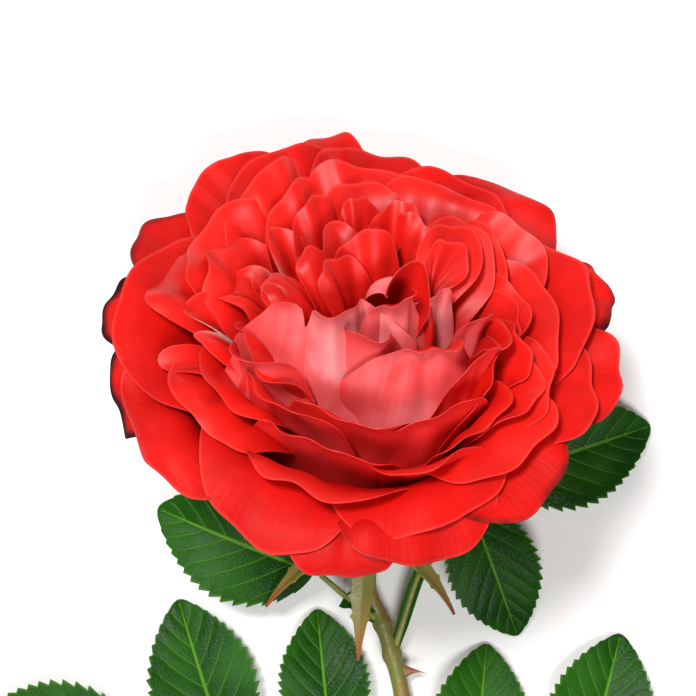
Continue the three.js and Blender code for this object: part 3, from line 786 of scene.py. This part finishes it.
def make_leaves():
    """The four leaves. A leaflet's row is which stalk point it grows from, its heading, its size, and how
    much it rises and arches."""
    make_leaf("right_upper_leaf", stem_point(LEAF_AT["right_upper"]),
              [beside(0.27, -0.08, 7), beside(0.42, 0.09, 5.5), beside(0.52, 0.2, 4)],
              [(2, 18, 1.02, -3, 2), (1, -70, 0.86, -4.6, 3), (1, 96, 0.62, -4, 0.4)])
    make_leaf("left_upper_leaf", stem_point(LEAF_AT["left_upper"]),
              [beside(-0.08, -0.3, 8), beside(-0.2, -0.2, 8)],
              [(1, 158, 1.08, -3, 4)])
    d = LEAF_AT["left"]
    make_leaf("left_leaf", stem_point(d),
              [beside_stem(d, -0.66, -0.24, 5), beside_stem(d, -1.6, -0.29, 4),
               beside_stem(d, -2.36, -0.22, 3.5)],
              [(2, 176, 1.1, -3.1, 3), (0, 96, 0.84, -4.2, 2.5), (0, -93, 0.84, -4.4, 2),
               (1, 108, 1.0, -3.2, 3), (1, -100, 0.98, -3.2, 2)])
    d = LEAF_AT["right"]
    make_leaf("right_leaf", stem_point(d),
              [beside_stem(d, 0.6, 0.08, 5), beside_stem(d, 1.56, 0.1, 4), beside_stem(d, 2.3, 0.06, 3.5)],
              [(2, 2, 1.06, -3.1, 3), (0, 84, 0.92, -4.2, 2.5), (0, -78, 0.84, -4.4, 2),
               (1, 74, 1.0, -3.2, 3), (1, -84, 0.96, -3.2, 2)])


def make_hip():
    """The hip: rings round the bloom's axis whose radius follows a smooth profile, urn-shaped below the
    sepals."""
    profile = smooth_path([(1.9, -14.4), (2.3, -13), (4.6, -10.2), (6.2, -6), (5.6, -2.4), (4.4, -0.6),
                           (2.6, 2), (0.8, 5)], 60)
    centres = to_table(np.stack([0 * profile[:, 0], 0 * profile[:, 0], profile[:, 1]], -1))
    r = profile[:, :1]
    urn = swept(centres, r * BLOOM_AXES[0], r * BLOOM_AXES[1], 40)
    swept_piece("rose_hip", [urn], CALYX_SKIN, "hip")


def sepal(k, turn, droop, size):
    """A sepal: a sheet along an arc that leaves the hip's shoulder and droops, lance-shaped with a drawn-
    out tip and small side tags; its two halves are folded up along the middle."""
    u = np.linspace(-1, 1, 15)[None, :]
    v = np.linspace(0, 1, 61)[:, None]
    length, width = 27 * size, 6.0 * size
    half = 0.5 * width * (0.75 * (1 - v) ** 0.8 + 0.5 * np.sin(math.pi * v) ** 2 * (1 - v)) + 0.2
    half = half + 0.9 * np.exp(-(((v - 0.42) / 0.02) ** 2)) + 0.7 * np.exp(-(((v - 0.6) / 0.02) ** 2))
    bend = math.radians(droop) + math.radians(34) * v
    step = length / (len(v) - 1)
    out = 5.6 + np.cumsum(np.cos(bend), 0) * step
    up = -1.2 - np.cumsum(np.sin(bend), 0) * step + 0.28 * np.abs(u) * half
    a = math.radians(turn)
    x = out * math.cos(a) - half * u * math.sin(a)
    y = out * math.sin(a) + half * u * math.cos(a)
    p = to_table(np.stack(np.broadcast_arrays(x, y, up), -1))
    p[..., 2] = np.maximum(p[..., 2], 0.5)
    piece = sheet_piece(f"calyx_sepal_{k}", p, 0.5, [CALYX_SKIN],
                        {"along": v, "across": u, "tip": 0.9 * v**2})
    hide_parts(f"sepal_{k}")


STAMENS = 34


def make_stamens():
    """A tuft of bent filaments round the axis, each a thin bar that ends in an anther, a short bar thickest
    in its middle.
    """
    parts, tips = [], []
    for _ in range(STAMENS):
        a, lean = rng.uniform(0, TAU), rng.uniform(0.5, 3.6)
        top = rng.uniform(17, 25)
        t = np.linspace(0, 1, 10)
        r = 0.5 + lean * t**1.6
        z = 5 + (top - 5) * t
        path = to_table(np.stack([r * np.cos(a + 0.3 * t), r * np.sin(a + 0.3 * t), z], -1))
        parts.append(tube(path, 0.16, 6))
        end = path[-1] + np.linspace(-1, 1, 7)[:, None] * 0.9 * BLOOM_AXES[1]
        parts.append(tube(end, 0.55 * np.sqrt(1.02 - np.linspace(-1, 1, 7) ** 2), 8))
        tips += [np.zeros(len(parts[-2][0])), np.full(len(parts[-1][0]), 0.35)]
    swept_piece("stamen_tuft", parts, ANTHERS, "stamens", np.concatenate(tips))


make_stem()
make_leaves()
make_hip()
for k, row in enumerate([(54, -4, 0.8), (126, -4, 0.76), (196, 24, 1), (262, 44, 1.02), (338, 32, 0.94)]):
    sepal(k + 1, *row)
make_stamens()


# ---- Floor, light and camera ---------------------------------------------------------------------

def make_floor():
    """A plain pale table top just under the rose."""
    mesh = bpy.data.meshes.new("table")
    size, z = 3.0, cad_low.z - 0.0002
    corners = [(-size, -size, z), (size, -size, z), (size, size, z), (-size, size, z)]
    mesh.from_pydata(corners, [], [(0, 1, 2, 3)])
    table = bpy.data.objects.new("table", mesh)
    bpy.context.collection.objects.link(table)
    material, tree, output = new_material("table")
    surface = add(tree, "ShaderNodeBsdfPrincipled", {"Base Color": (0.93, 0.93, 0.92, 1), "Roughness": 0.7})
    tree.links.new(surface.outputs[0], output.inputs["Surface"])
    mesh.materials.append(material)


def soft_light(name, kind, place, aim, size, power):
    """A soft lamp aimed at a point: an AREA disk, size in metres, or a SUN, size its angle in radians."""
    lamp = bpy.data.lights.new(name, kind)
    if kind == "AREA":
        lamp.shape = "DISK"
        lamp.size = size
    else:
        lamp.angle = size
    lamp.energy = power
    holder = bpy.data.objects.new(name, lamp)
    holder.location = place
    holder.rotation_euler = (Vector(aim) - Vector(place)).to_track_quat("-Z", "Y").to_euler()
    bpy.context.collection.objects.link(holder)


make_floor()
world = bpy.data.worlds.new("studio")
world.use_nodes = True
sky = world.node_tree.nodes["Background"]
sky.inputs["Color"].default_value = (1, 1, 1, 1)
seen = add(world.node_tree, "ShaderNodeLightPath").outputs["Is Camera Ray"]
AROUND, BACKDROP = 0.17, 0.95  # the studio's light on the rose, and how bright the backdrop looks
world.node_tree.links.new(ramp(world.node_tree, seen, 0.0, 1.0, AROUND, BACKDROP), sky.inputs["Strength"])
bpy.context.scene.world = world
bloom_middle = tuple(to_table(np.array([0, 0, 50])) * MM)
soft_light("key", "SUN", (-0.3, 0.45, 1.05), bloom_middle, 0.26, 3.1)
soft_light("fill", "AREA", (0.1, -0.45, 1.1), bloom_middle, 0.5, 8.5)
bpy.context.scene.view_settings.view_transform = "Standard"

CAMERA_HEIGHT = 0.64  # metres
VIEW_OFFSET = (-5.1, 43.6, 0)  # mm from the top of the hip to the point under the camera
camera = bpy.data.cameras.new("camera")
camera.lens = 134
camera_holder = bpy.data.objects.new("camera", camera)
view_middle = HIP_TOP + VIEW_OFFSET
camera_holder.location = (view_middle[0] * MM, view_middle[1] * MM, CAMERA_HEIGHT)
bpy.context.collection.objects.link(camera_holder)
bpy.context.scene.camera = camera_holder
